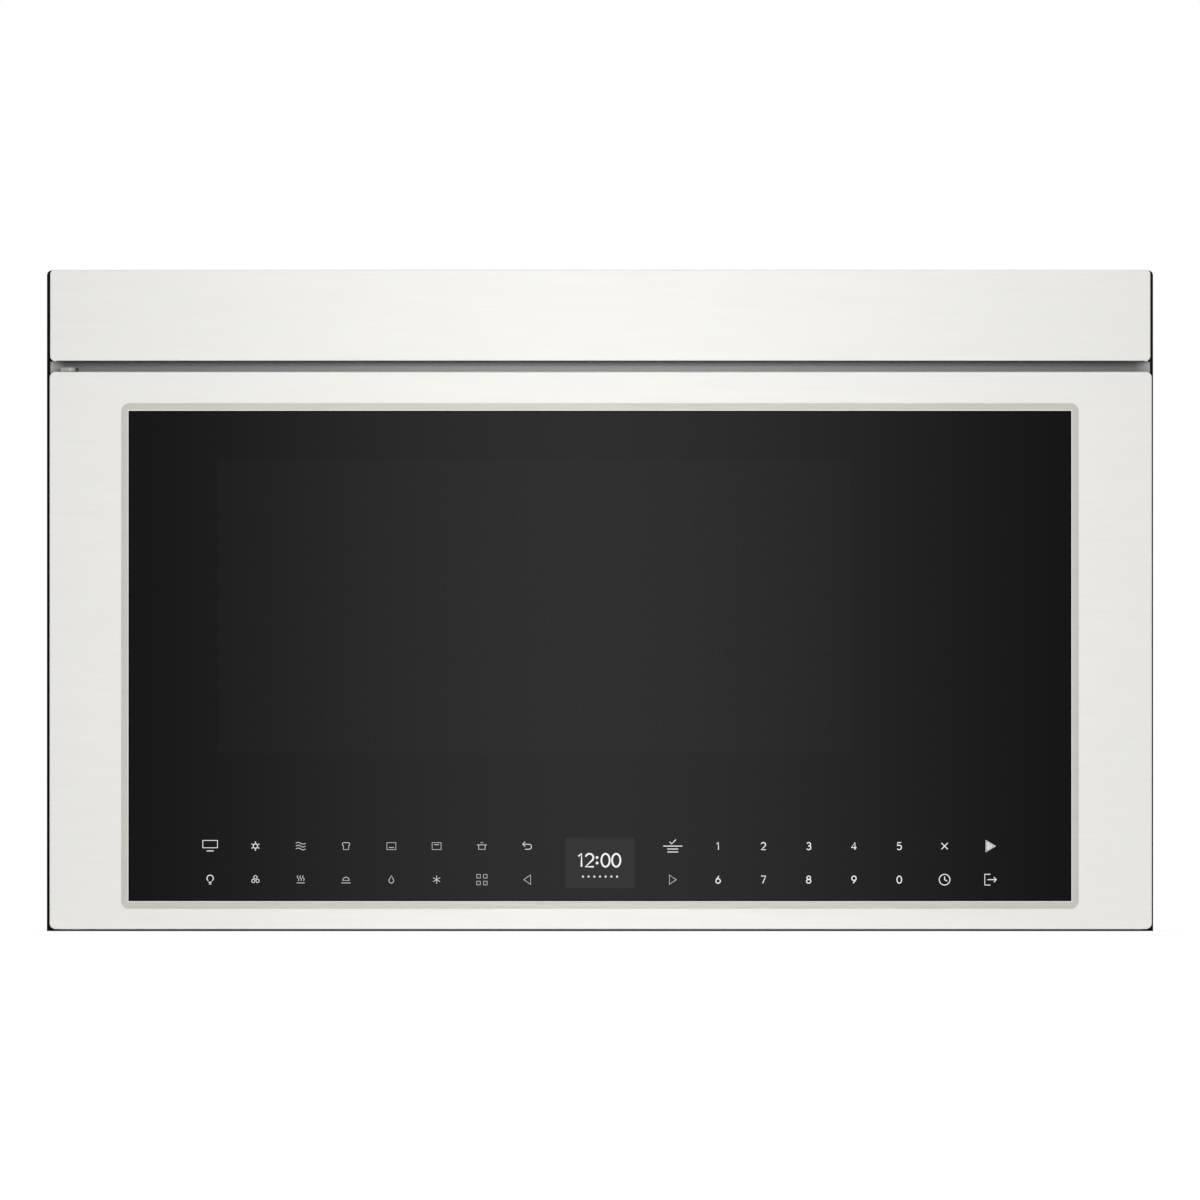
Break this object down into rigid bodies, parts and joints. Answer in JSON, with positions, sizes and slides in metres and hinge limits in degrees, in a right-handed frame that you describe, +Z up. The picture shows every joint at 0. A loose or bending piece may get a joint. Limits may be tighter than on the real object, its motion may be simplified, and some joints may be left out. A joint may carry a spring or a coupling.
{
  "type": "over the range microwave oven",
  "caption": "Over the range microwave oven: cabinet with a left-hinged glass door and touch controls, turntable, vent blower with filters and lamps, and a wall plate.",
  "frame": {"origin": "middle of the bottom of the whole object's box", "axes": "+X to the right seen from the front, +Y back to the wall, +Z up"},
  "size_m": [0.76, 0.486, 0.454],
  "materials": {
    "brushed_panel": "fine brushed stainless steel with a clear coat",
    "bright_trim": "satin metal frame round the glass",
    "case_paint": "black powder coat",
    "face_paint": "grey stoved paint",
    "cavity_enamel": "grey enamel",
    "zinc_sheet": "zinc plated sheet",
    "bare_steel": "plated steel",
    "motor_paint": "black motor enamel",
    "core_iron": "varnished laminated core",
    "heater_sheath": "oxidised heater sheath",
    "magnetron_metal": "aluminium fins in a steel yoke",
    "can_aluminium": "drawn aluminium",
    "aluminium_mesh": "layered aluminium mesh",
    "black_plastic": "moulded black plastic",
    "grey_plastic": "moulded grey plastic",
    "white_nylon": "moulded nylon",
    "charcoal_pad": "charcoal granules in a net",
    "circuit_board": "lacquered circuit board",
    "mica_sheet": "pressed mica",
    "screen_paint": "black painted perforated sheet",
    "display_glass": "black display window",
    "tinted_glass": "dark tinted glass",
    "clear_pane": "clear glass",
    "tray_glass": "pressed clear glass",
    "clear_lens": "frosted clear lens"
  },
  "bodies": {
    "cabinet": {"outer_case": "case_paint", "back_plate": "zinc_sheet", "base_plate": "case_paint", "front_frame": "face_paint", "oven_cavity": "cavity_enamel", "component_shelf": "zinc_sheet", "wall_mounting_plate": "zinc_sheet", "top_panel": "brushed_panel", "vent_grille": "black_plastic", "charcoal_filter": "charcoal_pad", "vent_blower_housing": "zinc_sheet", "vent_motor": "motor_paint", "frame_screws": "bare_steel", "grease_filters": "aluminium_mesh", "cooktop_lamps": "black_plastic", "lamp_lenses": "clear_lens", "power_inlet_bushing": "black_plastic", "broil_element": "heater_sheath", "convection_element": "heater_sheath", "convection_cover": "cavity_enamel", "convection_motor": "motor_paint", "turntable_motor": "bare_steel", "waveguide": "zinc_sheet", "waveguide_cover": "mica_sheet", "magnetron": "magnetron_metal", "high_voltage_transformer": "core_iron", "high_voltage_capacitor": "can_aluminium", "cooling_fan_housing": "zinc_sheet", "cooling_fan_motor": "core_iron", "cavity_lamp": "can_aluminium", "power_board": "circuit_board", "hinge_top": "bare_steel", "hinge_bottom": "bare_steel", "latch_board": "grey_plastic", "interlock_switches": "black_plastic", "release_solenoid": "motor_paint"},
    "door": {"door_skin": "brushed_panel", "window_trim": "bright_trim", "door_glass": "tinted_glass", "touch_board": "circuit_board", "display_module": "display_glass", "door_chassis": "black_plastic", "door_screen": "screen_paint", "inner_pane": "clear_pane", "choke_cover": "black_plastic", "hinge_bushes": "white_nylon"},
    "latch": {"latch_hooks": "white_nylon", "latch_spring": "bare_steel"},
    "release": {"release_plunger": "bare_steel"},
    "switch_lower": {"switch_plunger_lower": "white_nylon"},
    "switch_upper": {"switch_plunger_upper": "white_nylon"},
    "turntable": {"turntable_coupler": "white_nylon", "glass_tray": "tray_glass"},
    "roller_ring": {"turntable_ring": "white_nylon"},
    "roller_1": {"turntable_roller_1": "white_nylon"},
    "roller_2": {"turntable_roller_2": "white_nylon"},
    "roller_3": {"turntable_roller_3": "white_nylon"},
    "vent_rotor": {"vent_blower_wheels": "grey_plastic"},
    "cooling_rotor": {"cooling_fan": "black_plastic"},
    "convection_rotor": {"convection_fan": "bare_steel"}
  },
  "joints": [
    {"name": "door_hinge", "type": "hinge", "parent": "cabinet", "child": "door", "pos_m": [-0.36395, -0.231, 0.19], "axis": [0, 0, -1], "range_deg": [0, 100]},
    {"name": "release_slide", "type": "slide", "parent": "cabinet", "child": "release", "axis": [0, 0, 1], "range_m": [0, 0.004], "stiffness_N_per_m": 200, "springref_m": -0.002},
    {"name": "latch_slide", "type": "slide", "parent": "door", "child": "latch", "axis": [0, 0, 1], "range_m": [0, 0.004], "stiffness_N_per_m": 400, "springref_m": -0.003},
    {"name": "switch_lower_press", "type": "slide", "parent": "cabinet", "child": "switch_lower", "axis": [0, 1, 0], "range_m": [0, 0.0015], "stiffness_N_per_m": 300, "springref_m": -0.001},
    {"name": "switch_upper_press", "type": "slide", "parent": "cabinet", "child": "switch_upper", "axis": [0, 1, 0], "range_m": [0, 0.0015], "stiffness_N_per_m": 300, "springref_m": -0.001},
    {"name": "turntable_spin", "type": "hinge", "parent": "cabinet", "child": "turntable", "pos_m": [-0.045, -0.038, 0.12], "axis": [0, 0, 1], "continuous": true},
    {"name": "ring_spin", "type": "hinge", "parent": "cabinet", "child": "roller_ring", "pos_m": [-0.045, -0.038, 0.1193], "axis": [0, 0, 1], "continuous": true},
    {"name": "roller_1_spin", "type": "hinge", "parent": "roller_ring", "child": "roller_1", "pos_m": [-0.045, 0.057, 0.1193], "axis": [0, 1, 0], "continuous": true},
    {"name": "roller_2_spin", "type": "hinge", "parent": "roller_ring", "child": "roller_2", "pos_m": [-0.12727, -0.0855, 0.1193], "axis": [-0.866, -0.5, 0], "continuous": true},
    {"name": "roller_3_spin", "type": "hinge", "parent": "roller_ring", "child": "roller_3", "pos_m": [0.03727, -0.0855, 0.1193], "axis": [0.866, -0.5, 0], "continuous": true},
    {"name": "vent_rotor_spin", "type": "hinge", "parent": "cabinet", "child": "vent_rotor", "pos_m": [0.086, 0.1794, 0.4001], "axis": [1, 0, 0], "continuous": true},
    {"name": "cooling_fan_spin", "type": "hinge", "parent": "cabinet", "child": "cooling_rotor", "pos_m": [0.2831, 0.1964, 0.247], "axis": [0, 1, 0], "continuous": true},
    {"name": "convection_fan_spin", "type": "hinge", "parent": "cabinet", "child": "convection_rotor", "pos_m": [-0.045, 0.15, 0.223], "axis": [0, 1, 0], "continuous": true}
  ],
  "couplings": [
    {"joint": "latch_slide", "follows": "release_slide", "ratio": 1},
    {"joint": "ring_spin", "follows": "turntable_spin", "ratio": 0.5},
    {"joint": "roller_1_spin", "follows": "turntable_spin", "ratio": -6.7857},
    {"joint": "roller_2_spin", "follows": "turntable_spin", "ratio": -6.7857},
    {"joint": "roller_3_spin", "follows": "turntable_spin", "ratio": -6.7857}
  ]
}
